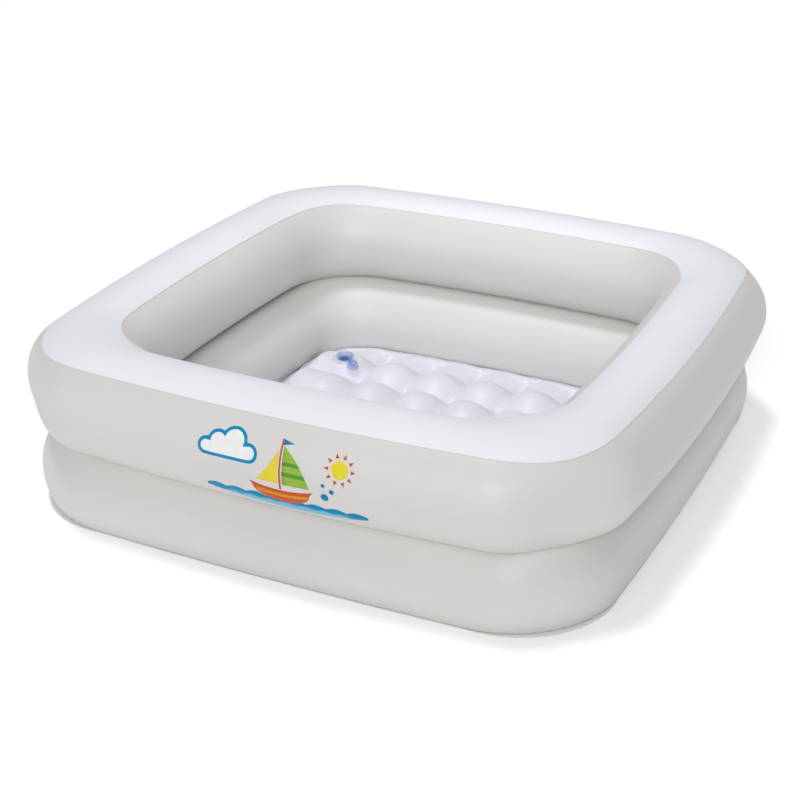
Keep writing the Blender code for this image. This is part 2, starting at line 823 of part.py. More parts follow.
def add_flap(name, frame, material, collection):
    """Check flap that closes the stem's inner end, hung from the lug beside it."""
    top = -STEM_DEPTH - SEAT_GAP
    profile = [
        (0.0, top),
        (FLAP_RADIUS, top),
        (FLAP_RADIUS, top - FLAP_THICKNESS),
        (0.0, top - FLAP_THICKNESS),
    ]
    flap = add_turned(name, profile, False, frame, material, collection)
    half_strap = STRAP_WIDTH / 2
    tab = add_block(
        name + "_tab",
        (-FLAP_LUG_REACH, -half_strap, top - FLAP_THICKNESS),
        (-FLAP_RADIUS / 2, half_strap, top),
        frame,
        helpers,
    )
    add_boolean(flap, "UNION", tab)


def add_floor_valve(body_material, stopper_material, collection):
    frame = floor_valve_frame()
    pad = [(-FLANGE_RADIUS, 0.0), (FLANGE_RADIUS, 0.0)]
    add_valve_body("floor_valve_body", pad, frame, body_material, collection)
    add_stopper("floor_valve_stopper", frame, STOPPER_OPEN_DEG, stopper_material, collection)
    add_flap("floor_valve_flap", frame, body_material, collection)


def add_wall_valve(prefix, wall, wall_sheet, column, materials, collection):
    """A valve on the back of a ring, plugged, with its hole through the wall's sheet."""
    body_material, stopper_material = materials
    frame = wall_valve_frame(wall, column)
    profile = wall_profile(wall, column, frame)
    profile = [(x, z + SEAT_GAP) for x, z in profile]
    add_valve_body(prefix + "_valve_body", profile, frame, body_material, collection)
    add_stopper(prefix + "_valve_stopper", frame, 0.0, stopper_material, collection)
    add_flap(prefix + "_valve_flap", frame, body_material, collection)
    cut_hole(wall_sheet, frame)


clear_scene()
tub = new_collection("baby_tub")
helpers = new_collection("cutters")
helpers.hide_render = True

grey_vinyl = new_material("grey vinyl", (0.66, 0.65, 0.63), 0.42)
white_vinyl = new_material("white vinyl", (0.84, 0.85, 0.90), 0.55)
floor_vinyl = new_material("floor vinyl", (0.78, 0.78, 0.86), 0.45)
valve_vinyl = new_material("clear blue valve vinyl", (0.15, 0.32, 0.70), 0.25, alpha=0.6)
stopper_vinyl = new_material("blue stopper vinyl", (0.12, 0.28, 0.66), 0.30)

upper_outer_wall, upper_inner_wall = add_upper_walls(grey_vinyl, tub)
lower_outer_wall, lower_inner_wall = add_lower_walls(grey_vinyl, tub)
add_top_panel(white_vinyl, tub)
add_partition(grey_vinyl, tub)
add_base_sheet(white_vinyl, tub)
add_floor_sheet(floor_vinyl, tub)
valve_materials = (valve_vinyl, stopper_vinyl)
add_floor_valve(*valve_materials, tub)
upper_column, lower_column = back_column(0), back_column(-1)
add_wall_valve("upper", upper_outer_panel(), upper_outer_wall, upper_column, valve_materials, tub)
add_wall_valve("lower", lower_outer_panel(), lower_outer_wall, lower_column, valve_materials, tub)
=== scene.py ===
"""Inflatable square baby tub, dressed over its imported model. Metres, +Z up, front towards -Y."""

import json
import math

import bmesh
import bpy
import numpy as np
from mathutils import Matrix, Vector


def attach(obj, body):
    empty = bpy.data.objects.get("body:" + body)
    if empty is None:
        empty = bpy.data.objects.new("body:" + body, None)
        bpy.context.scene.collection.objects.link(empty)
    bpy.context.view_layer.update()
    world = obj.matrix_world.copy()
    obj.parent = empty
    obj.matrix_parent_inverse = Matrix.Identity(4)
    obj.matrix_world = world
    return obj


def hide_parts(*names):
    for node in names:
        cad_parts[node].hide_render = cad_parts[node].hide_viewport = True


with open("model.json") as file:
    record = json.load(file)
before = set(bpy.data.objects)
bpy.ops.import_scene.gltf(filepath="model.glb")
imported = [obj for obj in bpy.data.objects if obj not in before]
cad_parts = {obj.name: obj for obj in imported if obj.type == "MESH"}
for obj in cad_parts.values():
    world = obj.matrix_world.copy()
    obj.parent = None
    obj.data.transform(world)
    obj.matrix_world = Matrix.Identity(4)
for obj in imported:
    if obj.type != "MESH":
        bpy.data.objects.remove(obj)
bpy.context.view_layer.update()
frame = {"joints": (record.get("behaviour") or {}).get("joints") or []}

# The photographer's corner: a long lens looking down on the tub's front right corner, soft lamps
# above and around the tub in an evenly lit room, and a seamless white floor.
scene = bpy.context.scene
scene.view_settings.view_transform = "Standard"

VIEW_AZIMUTH = math.radians(25.62)
VIEW_HEIGHT = math.radians(25.755)
VIEW_DISTANCE = 2.2301
VIEW_TARGET = Vector((0.0169, -0.0361, 0.0888))

lens = bpy.data.cameras.new("studio_camera")
lens.sensor_width = 36.0
lens.lens = 73.035
lens.shift_x = -0.0145
lens.shift_y = -0.0006
camera = bpy.data.objects.new("studio_camera", lens)
towards_camera = Vector(
    (
        math.sin(VIEW_AZIMUTH) * math.cos(VIEW_HEIGHT),
        -math.cos(VIEW_AZIMUTH) * math.cos(VIEW_HEIGHT),
        math.sin(VIEW_HEIGHT),
    )
)
camera.location = VIEW_TARGET + VIEW_DISTANCE * towards_camera
camera.rotation_euler = towards_camera.to_track_quat("Z", "Y").to_euler()
scene.collection.objects.link(camera)
scene.camera = camera

# Each lamp's name, the direction it shines from, its strength and its width in degrees
for lamp_name, lamp_place, strength, spread in (
    ("ceiling_softbox", (-0.16, -0.03, 1.0), 0.93, 11),
    ("front_key_lamp", (0.26, -1.0, 0.60), 0.85, 14),
    ("front_softbox", (0.12, -1.0, 0.62), 0.44, 60),
    ("back_softbox", (0.0, 1.0, 0.6), 0.32, 50),
    ("right_softbox", (1.0, -0.2, 0.35), 0.10, 50),
):
    lamp = bpy.data.lights.new(lamp_name, "SUN")
    lamp.energy = strength
    lamp.angle = math.radians(spread)
    lamp_object = bpy.data.objects.new(lamp_name, lamp)
    lamp_object.rotation_euler = Vector(lamp_place).to_track_quat("Z", "Y").to_euler()
    scene.collection.objects.link(lamp_object)

# A small softbox hung over the opening fills the inside of the tub.
fill = bpy.data.lights.new("inside_softbox", "AREA")
fill.shape = "DISK"
fill.size = 0.34
fill.energy = 0.42
fill_lamp = bpy.data.objects.new("inside_softbox", fill)
fill_lamp.location = (0.0, 0.0, 0.5)
fill_lamp.visible_camera = False
fill_lamp.visible_glossy = False
scene.collection.objects.link(fill_lamp)


def linear(hex_colour):
    """An sRGB hex colour as the linear values that shader sockets take."""
    channels = [int(hex_colour[i : i + 2], 16) / 255 for i in (1, 3, 5)]
    return [c / 12.92 if c <= 0.04045 else ((c + 0.055) / 1.055) ** 2.4 for c in channels] + [1.0]


def add_node(material, kind, settings=None, **links):
    """Adds a node, gives it its settings, and fills its inputs with values or other outputs."""
    node = material.node_tree.nodes.new(kind)
    for name, value in (settings or {}).items():
        setattr(node, name, value)
    for name, value in links.items():
        socket = node.inputs[int(name[1:]) if name[1:].isdigit() else name.replace("_", " ")]
        if isinstance(value, bpy.types.NodeSocket):
            material.node_tree.links.new(value, socket)
        else:
            socket.default_value = value
    return node


# Seamless paper: white to the lens and in reflections, where a small glow lifts it to full white,
# and it still takes the tub's soft shadow. Its light on the tub is that of plain white paper.
PAPER_GLOW = 0.215
PAPER_HALF = 30.0
PAPER_BELOW = 0.0002
paper = bpy.data.materials.new("seamless_paper")
paper.use_nodes = True
paper.node_tree.nodes.clear()
ray = add_node(paper, "ShaderNodeLightPath")
seen = add_node(
    paper,
    "ShaderNodeMath",
    {"operation": "MAXIMUM"},
    i0=ray.outputs["Is Camera Ray"],
    i1=ray.outputs["Is Glossy Ray"],
)
seen = add_node(
    paper,
    "ShaderNodeMath",
    {"operation": "MAXIMUM"},
    i0=seen.outputs[0],
    i1=ray.outputs["Is Transmission Ray"],
)
sheet_white = add_node(paper, "ShaderNodeBsdfDiffuse", Color=linear("#FAFAFA"))
lifted = add_node(paper, "ShaderNodeEmission", Color=(1.0, 1.0, 1.0, 1.0), Strength=PAPER_GLOW)
both = add_node(paper, "ShaderNodeAddShader", i0=sheet_white.outputs[0], i1=lifted.outputs[0])
shown = add_node(
    paper, "ShaderNodeMixShader", i0=seen.outputs[0], i1=sheet_white.outputs[0], i2=both.outputs[0]
)
add_node(paper, "ShaderNodeOutputMaterial", Surface=shown.outputs[0])

bm = bmesh.new()
bmesh.ops.create_grid(bm, x_segments=2, y_segments=2, size=PAPER_HALF)
bmesh.ops.translate(bm, vec=(0.0, 0.0, -PAPER_BELOW), verts=bm.verts)
paper_mesh = bpy.data.meshes.new("studio_floor")
bm.to_mesh(paper_mesh)
bm.free()
paper_mesh.materials.append(paper)
studio_floor = bpy.data.objects.new("studio_floor", paper_mesh)
scene.collection.objects.link(studio_floor)

# The room's even light, and plain white for the lens
ROOM_LIGHT = 0.265
world = bpy.data.worlds.new("studio_room")
scene.world = world
world.use_nodes = True
world.node_tree.nodes.clear()
ray = add_node(world, "ShaderNodeLightPath")
seen = add_node(
    world,
    "ShaderNodeMath",
    {"operation": "MAXIMUM"},
    i0=ray.outputs["Is Camera Ray"],
    i1=ray.outputs["Is Transmission Ray"],
)
ambient = add_node(world, "ShaderNodeBackground", Color=linear("#FFFFFF"), Strength=ROOM_LIGHT)
white = add_node(world, "ShaderNodeBackground", Color=(1.0, 1.0, 1.0, 1.0), Strength=1.0)
shown = add_node(
    world, "ShaderNodeMixShader", i0=seen.outputs[0], i1=ambient.outputs[0], i2=white.outputs[0]
)
add_node(world, "ShaderNodeOutputWorld", Surface=shown.outputs[0])


# Base sheet: a flat square of white PVC film, 0.3 mm thick, welded under the lower ring. Its
# trimmed edge stands a few millimetres past the weld, most at the corners, where it ruffles.
FILM = 0.0003
WELD_GAP = 0.0003
# How far the lip stands out at the corners, what share of that is left along the sides, and how
# much its cut edge wanders, curls up and ruffles
LIP = 0.0082
LIP_SIDE_SHARE = 0.12
LIP_WANDER = 0.0010
LIP_CURL = 0.0002
LIP_RUFFLE = 0.0017
BASE_INSET = 0.13
# Each weld line is a square of four bowed sides and four round corners: half its width, its
# corners' radius and its sides' radius
SIDE_COLUMNS = 56
CORNER_COLUMNS = 64
SIDE_BOW = 3.2
FOOT_BOW = 6.9
FOOT_OUTER = (0.4008, 0.1427, FOOT_BOW)
FOOT_INNER = (0.2675, 0.105, SIDE_BOW)


def weld_line(shape, height, corner_rise=0.0, inset=0.0):
    """Points round a square with bowed sides and round corners, with their plan normals."""
    half, corner, bow = (size - inset for size in shape)
    turn = math.pi / 4 - math.asin((bow - half) / (math.sqrt(2) * (bow - corner)))
    core = (bow - corner) * math.sin(turn)
    side = np.linspace(-turn, turn, SIDE_COLUMNS, endpoint=False)
    bend = np.linspace(turn, math.pi / 2 - turn, CORNER_COLUMNS, endpoint=False)
    points, normals = [], []
    for quarter in range(4):
        facing = np.array((math.cos(quarter * math.pi / 2), math.sin(quarter * math.pi / 2)))
        leftward = np.array((-facing[1], facing[0]))
        for angles, centre, radius in (
            (side, (half - bow) * facing, bow),
            (bend, core * (facing + leftward), corner),
        ):
            turned = angles + quarter * math.pi / 2
            across = np.stack((np.cos(turned), np.sin(turned)), axis=1)
            points.append(centre + radius * across)
            normals.append(across)
    points, normals = np.concatenate(points), np.concatenate(normals)
    heights = height + corner_rise * corner_share
    return np.column_stack((points, heights)), np.column_stack((normals, np.zeros(len(points))))


# 0 along the sides, rising to 1 at the middle of each corner, for each column of the outline
corner_share = np.tile(
    np.concatenate(
        (
            np.zeros(SIDE_COLUMNS),
            np.sin(np.pi * np.arange(CORNER_COLUMNS) / CORNER_COLUMNS) ** 2,
        )
    ),
    4,
)
column_count = len(corner_share)
# Distance round the tub at each column, for ripples that run round it without a break
lap = np.linspace(0.0, 2 * np.pi, column_count, endpoint=False)


def grow_rows(bm, rows):
    """Extrudes a closed loop of edges from each row of points to the next; gives all the rows."""
    verts = [bm.verts.new(point) for point in rows[0]]
    grown_rows = [verts]
    for row in rows[1:]:
        edges = [
            bm.edges.get((a, b)) or bm.edges.new((a, b)) for a, b in zip(verts, verts[1:] + verts[:1])
        ]
        grown = bmesh.ops.extrude_edge_only(bm, edges=edges)["geom"]
        fresh = {item for item in grown if isinstance(item, bmesh.types.BMVert)}
        verts = [
            next(edge.other_vert(vert) for edge in vert.link_edges if edge.other_vert(vert) in fresh)
            for vert in verts
        ]
        for vert, point in zip(verts, row):
            vert.co = point
        grown_rows.append(verts)
    return grown_rows


def finish_piece(name, bm, material, body="tub", outward=None):
    """Makes the object at the origin, with its faces the right way out, and puts it on its body."""
    if outward is not None:
        bm.faces.ensure_lookup_table()
        face = bm.faces[len(bm.faces) // 2]
        face.normal_update()
        if face.normal.dot(outward(face.calc_center_median())) < 0:
            bmesh.ops.reverse_faces(bm, faces=bm.faces)
    mesh = bpy.data.meshes.new(name)
    bm.to_mesh(mesh)
    bm.free()
    mesh.shade_smooth()
    mesh.materials.append(material)
    piece = bpy.data.objects.new(name, mesh)
    scene.collection.objects.link(piece)
    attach(piece, body)
    return piece


def give_thickness(piece, thickness=FILM):
    """The film's thickness, laid on the inside of the drawn surface."""
    solid = piece.modifiers.new("film", "SOLIDIFY")
    solid.thickness = thickness
    solid.offset = -1.0
    solid.use_even_offset = True


def soft_film(name, colour, roughness, ripple_mm, ripple_height_mm):
    """Calendered PVC film: even colour, satin, with the faint ripple of a blown-up sheet."""
    film = bpy.data.materials.new(name)
    film.use_nodes = True
    shader = film.node_tree.nodes["Principled BSDF"]
    shader.inputs["IOR"].default_value = 1.53
    shader.inputs["Coat Weight"].default_value = 0.0
    place = add_node(film, "ShaderNodeTexCoord")
    # Pigment that varies by a hair over a hand's breadth
    pigment = add_node(
        film, "ShaderNodeTexNoise", Vector=place.outputs["Object"], Scale=1000 / 120, Detail=2.0
    )
    tint = add_node(
        film,
        "ShaderNodeMix",
        {"data_type": "RGBA"},
        Factor=pigment.outputs["Fac"],
        i6=linear(colour),
        i7=linear(shaded(colour, 0.975)),
    )
    film.node_tree.links.new(tint.outputs[2], shader.inputs["Base Color"])
    # Sheen patches where the calender roll pressed harder
    patch = add_node(
        film, "ShaderNodeTexNoise", Vector=place.outputs["Object"], Scale=1000 / 35, Detail=3.0
    )
    polish = add_node(
        film,
        "ShaderNodeMapRange",
        Value=patch.outputs["Fac"],
        To_Min=roughness - 0.04,
        To_Max=roughness + 0.05,
    )
    film.node_tree.links.new(polish.outputs[0], shader.inputs["Roughness"])
    # Fine matt grain, about 0.4 mm in the film and drawn at 0.8 mm so that it shows
    grain = add_node(
        film, "ShaderNodeTexNoise", Vector=place.outputs["Object"], Scale=1000 / 0.8, Detail=1.0
    )
    grain_bump = add_node(
        film, "ShaderNodeBump", Height=grain.outputs["Fac"], Strength=0.06, Distance=0.0002
    )
    ripple = add_node(
        film, "ShaderNodeTexNoise", Vector=place.outputs["Object"], Scale=1000 / ripple_mm, Detail=1.5
    )
    ripple_bump = add_node(
        film,
        "ShaderNodeBump",
        Height=ripple.outputs["Fac"],
        Strength=0.35,
        Distance=ripple_height_mm / 1000,
        Normal=grain_bump.outputs[0],
    )
    film.node_tree.links.new(ripple_bump.outputs[0], shader.inputs["Normal"])
    return film


def shaded(hex_colour, share):
    """The same colour, a share as bright."""
    return "#" + "".join(f"{round(int(hex_colour[i : i + 2], 16) * share):02X}" for i in (1, 3, 5))


# Plain white film: satin, with a ripple every couple of centimetres
base_film = soft_film("plain_white_pvc_film", "#FBFBFB", 0.5, 22.0, 0.3)

lip_line, lip_normals = weld_line(FOOT_OUTER, FILM, inset=-LIP)
weld_edge, _ = weld_line(FOOT_OUTER, FILM)
lip_share = corner_share**0.4
trimmed = LIP_SIDE_SHARE + (1.0 - LIP_SIDE_SHARE) * lip_share[:, None]
lip_line = weld_edge + trimmed * (lip_line - weld_edge)
# The cut edge waves in and out by up to a millimetre, and stands up in ruffles at the corners.
# Each ripple goes a whole number of times round the tub.
wave = 0.4 * np.sin(61 * lap) + 0.35 * np.sin(97 * lap + 1.3) + 0.25 * np.sin(151 * lap + 0.4)
edge_wander = LIP_WANDER * (wave * (0.1 + 0.9 * lip_share))[:, None] * lip_normals
ruffle = (LIP_CURL + LIP_RUFFLE * np.clip(wave + 0.2, 0.0, 1.0)) * lip_share
lip_rows = []
for share in np.linspace(0.0, 1.0, 5):
    row = weld_edge + share * (lip_line - weld_edge + edge_wander)
    row[:, 2] += ruffle * share**2
    lip_rows.append(row)

bm = bmesh.new()
rows = grow_rows(bm, lip_rows[::-1] + [weld_line(FOOT_OUTER, FILM, inset=BASE_INSET)[0]])
bm.faces.new(rows[-1])
base_sheet = finish_piece("base_film", bm, base_film, outward=lambda at: Vector((0, 0, 1)))
give_thickness(base_sheet)
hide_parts("base_sheet")


# Lower ring: two walls of warm light-grey PVC film, 0.3 mm, blown out between the base weld and
# the crease. They are high-frequency welded, and the film puckers a little where it is gathered.
CREASE_OUTER = (0.3895, 0.106, SIDE_BOW)
CREASE_INNER = (0.318, 0.1257, SIDE_BOW)
CREASE_OUTER_HEIGHT = 0.0997
CREASE_OUTER_RISE = 0.0059
CREASE_INNER_HEIGHT = 0.108
# How far each wall bulges between its welds: along the sides, and at the corners
LOWER_OUTER_BULGE = (0.0176, 0.0165)
LOWER_INNER_BULGE = (0.037, 0.034)
WELD_TAB = 0.006
PUCKER_REACH = 0.014
PUCKER_FREE = 0.002
WALL_ROWS = 30
crease_half_stack = FILM / 2 + WELD_GAP

# Warm grey film: satin, so that its highlights are broad and soft
grey_film = soft_film("warm_grey_pvc_film", "#DFDDDA", 0.45, 26.0, 0.45)


def unit(vectors):
    return vectors / np.linalg.norm(vectors, axis=1, keepdims=True)


def blown_arc(start, end, towards, bulges):
    """The arc that the film takes between two welds, in every column."""
    side_bulge, corner_bulge = bulges
    chord = end - start
    along = unit(chord)
    out = unit(towards - np.sum(towards * along, axis=1, keepdims=True) * along)
    bulge = side_bulge + (corner_bulge - side_bulge) * corner_share[:, None]
    half_chord = np.linalg.norm(chord, axis=1, keepdims=True) / 2
    radius = (half_chord**2 + bulge**2) / (2 * bulge)
    centre = (start + end) / 2 + (bulge - radius) * out
    return centre, radius, np.arcsin(half_chord / radius), out, along


def arc_points(arc, share, lift=0.0):
    """Points on the arc at a share from -1 at its start to 1 at its end."""
    centre, radius, half_turn, out, along = arc
    facing = np.cos(half_turn * share) * out + np.sin(half_turn * share) * along
    return centre + (radius + lift) * facing


def puckers(arc, share, from_start, from_end, seed):
    """Small ripples that run out of the two welds and die away along the film, in metres."""
    _, radius, half_turn, _, _ = arc
    length = (2 * radius * half_turn)[:, 0]
    near_start = np.exp(-((1 + share) / 2 * length) / PUCKER_REACH)
    near_end = np.exp(-((1 - share) / 2 * length) / PUCKER_REACH)
    fine = np.sin(131 * lap + seed) + 0.7 * np.sin(83 * lap + 2 * seed) + 0.5 * np.sin(211 * lap)
    slow = 0.6 + 0.4 * np.sin(7 * lap + seed)
    # Right at the welds, where it is held flat, the film stays smooth
    rest = 1.0 - np.exp(-((1 + share) / 2 * length) / PUCKER_FREE) * np.ones(len(lap))
    rest *= 1.0 - np.exp(-((1 - share) / 2 * length) / PUCKER_FREE)
    amount = (from_start * near_start + from_end * near_end) * (0.3 + 0.7 * corner_share)
    return (amount * fine * slow * rest / 2.2)[:, None]


def wall_rows(arc, from_start, from_end, seed):
    """The wall's rows of points from weld to weld, with its puckers."""
    return [
        arc_points(arc, share, puckers(arc, share, from_start, from_end, seed))
        for share in np.linspace(-1.0, 1.0, WALL_ROWS)
    ]


def crease_ends(lift):
    """The two creases, and the ends of the tabs that are welded to the partition there."""
    outer, _ = weld_line(CREASE_OUTER, CREASE_OUTER_HEIGHT + lift, CREASE_OUTER_RISE)
    inner, _ = weld_line(CREASE_INNER, CREASE_INNER_HEIGHT + lift)
    across = unit(inner - outer)
    return outer, outer + WELD_TAB * across, inner, inner - WELD_TAB * across


# Where each valve sits is read from its joints. The sizes here are in the valve's own frame: the
# strap's fold, the flap's hinge and the hole in the film, from the middle of the stem.
joints = {joint["name"]: joint for joint in frame["joints"]}
FOLD_REACH = 0.0155
FOLD_HEIGHT = 0.0077
HINGE_REACH = 0.0093
HINGE_DEPTH = 0.0087
STEM_HOLE = 0.0086


def valve_seat(name):
    """A valve's frame, from its two hinges: Z out of the film, X to the root of the strap."""
    fold = Vector(joints[f"{name}_stopper_swing"]["pos_m"])
    hinge = joints[f"{name}_flap_hinge"]
    across = Vector(hinge["axis"]).normalized()
    slant = (fold - Vector(hinge["pos_m"])).normalized()
    rise = math.atan2(FOLD_HEIGHT + HINGE_DEPTH, FOLD_REACH + HINGE_REACH)
    square_to = slant.cross(across)
    ahead = math.cos(rise) * slant - math.sin(rise) * square_to
    out = math.sin(rise) * slant + math.cos(rise) * square_to
    seat = Matrix((ahead, across, out)).transposed().to_4x4()
    seat.translation = fold - FOLD_REACH * ahead - FOLD_HEIGHT * out
    return seat


seats = {name: valve_seat(name) for name in ("floor", "upper", "lower")}


def open_stem_hole(bm, seat):
    """Opens the film round a valve's stem, with finer faces towards the round cut edge."""
    to_seat = seat.inverted()

    def from_stem(vert):
        at = to_seat @ vert.co
        return math.hypot(at.x, at.y) if abs(at.z) < STEM_HOLE else math.inf

    for reach in (2.6, 2.2, 1.8):
        near = [edge for edge in bm.edges if max(map(from_stem, edge.verts)) < reach * STEM_HOLE]
        bmesh.ops.subdivide_edges(bm, edges=near, cuts=1, use_grid_fill=True)
    inside = [face for face in bm.faces if max(map(from_stem, face.verts)) < STEM_HOLE]
    bmesh.ops.delete(bm, geom=inside, context="FACES")
    for vert in bm.verts:
        if vert.is_boundary and from_stem(vert) < 1.3 * STEM_HOLE:
            at = to_seat @ vert.co
            at.xy = STEM_HOLE * at.xy.normalized()
            vert.co = seat @ at


foot_out, foot_out_normals = weld_line(FOOT_OUTER, FILM + WELD_GAP)
foot_in, foot_in_normals = weld_line(FOOT_INNER, FILM + WELD_GAP)
below_outer, below_outer_tab, below_inner, below_inner_tab = crease_ends(-crease_half_stack)

lower_outer_arc = blown_arc(foot_out, below_outer, foot_out_normals, LOWER_OUTER_BULGE)
lower_inner_arc = blown_arc(below_inner, foot_in, -foot_in_normals, LOWER_INNER_BULGE)

bm = bmesh.new()
grow_rows(
    bm,
    [foot_out - WELD_TAB * foot_out_normals]
    + wall_rows(lower_outer_arc, from_start=0.0005, from_end=0.0003, seed=0.7)
    + [below_outer_tab],
)
open_stem_hole(bm, seats["lower"])
lower_outer = finish_piece(
    "lower_outer_film", bm, grey_film, outward=lambda at: Vector((at.x, at.y, 0))
)
give_thickness(lower_outer)
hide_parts("lower_outer_wall")

bm = bmesh.new()
grow_rows(
    bm,
    [below_inner_tab]
    + wall_rows(lower_inner_arc, from_start=0.0004, from_end=0.0004, seed=2.1)
    + [foot_in + WELD_TAB * foot_in_normals],
)
lower_inner = finish_piece(
    "lower_inner_film", bm, grey_film, outward=lambda at: Vector((-at.x, -at.y, 0))
)
give_thickness(lower_inner)
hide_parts("lower_inner_wall")


# Partition: the band of the same grey film that parts the two air chambers. It is caught in the
# crease between the rings all round, inside and out.
bm = bmesh.new()
outer_line, _ = weld_line(CREASE_OUTER, CREASE_OUTER_HEIGHT, CREASE_OUTER_RISE)
inner_line, _ = weld_line(CREASE_INNER, CREASE_INNER_HEIGHT)
grow_rows(bm, [outer_line + share * (inner_line - outer_line) for share in np.linspace(0, 1, 8)])
partition = finish_piece("partition_film", bm, grey_film, outward=lambda at: Vector((0, 0, 1)))
give_thickness(partition)
partition.modifiers["film"].offset = 0.0
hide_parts("ring_partition")


# Upper ring: the same grey film, blown out further, with its upper edges turned in and welded
# flat under the white top panel.
RIM_OUTER = (0.400, 0.1305, SIDE_BOW)
RIM_INNER = (0.3188, 0.1165, SIDE_BOW)
RIM_OUTER_HEIGHT = 0.2235
RIM_OUTER_DROP = -0.0036
RIM_INNER_HEIGHT = 0.2244
RIM_INNER_RISE = 0.0032
UPPER_OUTER_BULGE = (0.0385, 0.0224)
UPPER_INNER_BULGE = (0.034, 0.030)
TOP_CROWN = (0.0143, 0.0143)

rim_out, rim_normals = weld_line(RIM_OUTER, RIM_OUTER_HEIGHT, RIM_OUTER_DROP)
rim_in, _ = weld_line(RIM_INNER, RIM_INNER_HEIGHT, RIM_INNER_RISE)
above_outer, above_outer_tab, above_inner, above_inner_tab = crease_ends(crease_half_stack)
upward = np.tile((0.0, 0.0, 1.0), (column_count, 1))

upper_outer_arc = blown_arc(above_outer, rim_out, rim_normals, UPPER_OUTER_BULGE)
top_arc = blown_arc(rim_out, rim_in, upward, TOP_CROWN)
upper_inner_arc = blown_arc(rim_in, above_inner, -rim_normals, UPPER_INNER_BULGE)
tab_share = WELD_TAB / (top_arc[1] * top_arc[2])

bm = bmesh.new()
grow_rows(
    bm,
    [above_outer_tab]
    + wall_rows(upper_outer_arc, from_start=0.0004, from_end=0.0002, seed=1.3)
    + [arc_points(top_arc, tab_share * share - 1.0) for share in (0.2, 0.6, 1.0)],
)
open_stem_hole(bm, seats["upper"])
upper_outer = finish_piece(
    "upper_outer_film", bm, grey_film, outward=lambda at: Vector((at.x, at.y, 0))
)
give_thickness(upper_outer)
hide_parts("upper_outer_wall")

bm = bmesh.new()
grow_rows(
    bm,
    [arc_points(top_arc, 1.0 - tab_share * share) for share in (1.0, 0.6, 0.2)]
    + wall_rows(upper_inner_arc, from_start=0.0002, from_end=0.0006, seed=3.9)
    + [above_inner_tab],
)
upper_inner = finish_piece(
    "upper_inner_film", bm, grey_film, outward=lambda at: Vector((-at.x, -at.y, 0))
)
give_thickness(upper_inner)
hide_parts("upper_inner_wall")


# Print: a little boat on waves, screen-printed on the front of the upper ring. Each ink is a skin
# of a tenth of a millimetre that follows the blown-out film, a little glossier than the film.
# The shapes are drawn in millimetres to the right and up from the middle of the print.
PRINT_X = 0.040
PRINT_SCALE = 0.00117
PRINT_RISE = 0.006
INK = 0.0001
INK_STEP = 0.00006
INK_CLEARANCE = 0.00012

# The columns of the front side, in the fourth quarter of the outline
front_start = 3 * (SIDE_COLUMNS + CORNER_COLUMNS)
front_arc = [part[front_start : front_start + SIDE_COLUMNS] for part in upper_outer_arc]


def on_front(x_mm, up_mm, lift):
    """A point of the print, its millimetres laid along the front of the blown-out film."""
    at_x = PRINT_X + x_mm * PRINT_SCALE
    column = np.interp(at_x, front_arc[0][:, 0], np.arange(SIDE_COLUMNS))
    before = min(int(column), SIDE_COLUMNS - 2)
    part = column - before
    centre, radius, half_turn, out, along = (
        (1 - part) * values[before] + part * values[before + 1] for values in front_arc
    )
    turned = (PRINT_RISE + up_mm * PRINT_SCALE) / radius[0]
    return Vector(centre + (radius[0] + lift) * (math.cos(turned) * out + math.sin(turned) * along))


def screen_ink(name, colour):
    """Screen-printed vinyl ink: strong flat colour, a touch uneven, smoother than the film."""
    ink = bpy.data.materials.new(name)
    ink.use_nodes = True
    shader = ink.node_tree.nodes["Principled BSDF"]
    shader.inputs["IOR"].default_value = 1.5
    shader.inputs["Specular IOR Level"].default_value = 0.15
    place = add_node(ink, "ShaderNodeTexCoord")
    lay = add_node(ink, "ShaderNodeTexNoise", Vector=place.outputs["Object"], Scale=1000 / 9, Detail=3.0)
    tint = add_node(
        ink,
        "ShaderNodeMix",
        {"data_type": "RGBA"},
        Factor=lay.outputs["Fac"],
        i6=linear(colour),
        i7=linear(shaded(colour, 0.93)),
    )
    ink.node_tree.links.new(tint.outputs[2], shader.inputs["Base Color"])
    polish = add_node(
        ink, "ShaderNodeMapRange", Value=lay.outputs["Fac"], To_Min=0.28, To_Max=0.40
    )
    ink.node_tree.links.new(polish.outputs[0], shader.inputs["Roughness"])
    return ink


def ellipse(middle, radii, start=0.0, end=360.0, steps=36):
    angles = np.radians(np.linspace(start, end, steps, endpoint=end - start < 360.0))
    return [
        (middle[0] + radii[0] * math.cos(angle), middle[1] + radii[1] * math.sin(angle))
        for angle in angles
    ]


def bowed(start, end, bulge, steps=12):
    """A shallow bow from start to end that bulges to its right by some millimetres."""
    start, end = np.array(start), np.array(end)
    run = end - start
    side = np.array((run[1], -run[0])) / np.linalg.norm(run)
    return [
        tuple(start + share * run + 4 * share * (1 - share) * bulge * side)
        for share in np.linspace(0.0, 1.0, steps)
    ]


def wave_shape(reach, crest, height, length, keel, lift):
    """A strip of water with scalloped waves on top and a bowl-shaped underside."""
    xs = np.linspace(-reach, reach, 97)
    top = crest + height * np.abs(np.sin(np.pi * (xs + reach) / length))
    under = keel + lift * (np.abs(xs[::-1]) / reach) ** 2.5
    return list(zip(xs, top)) + list(zip(xs[::-1], under))


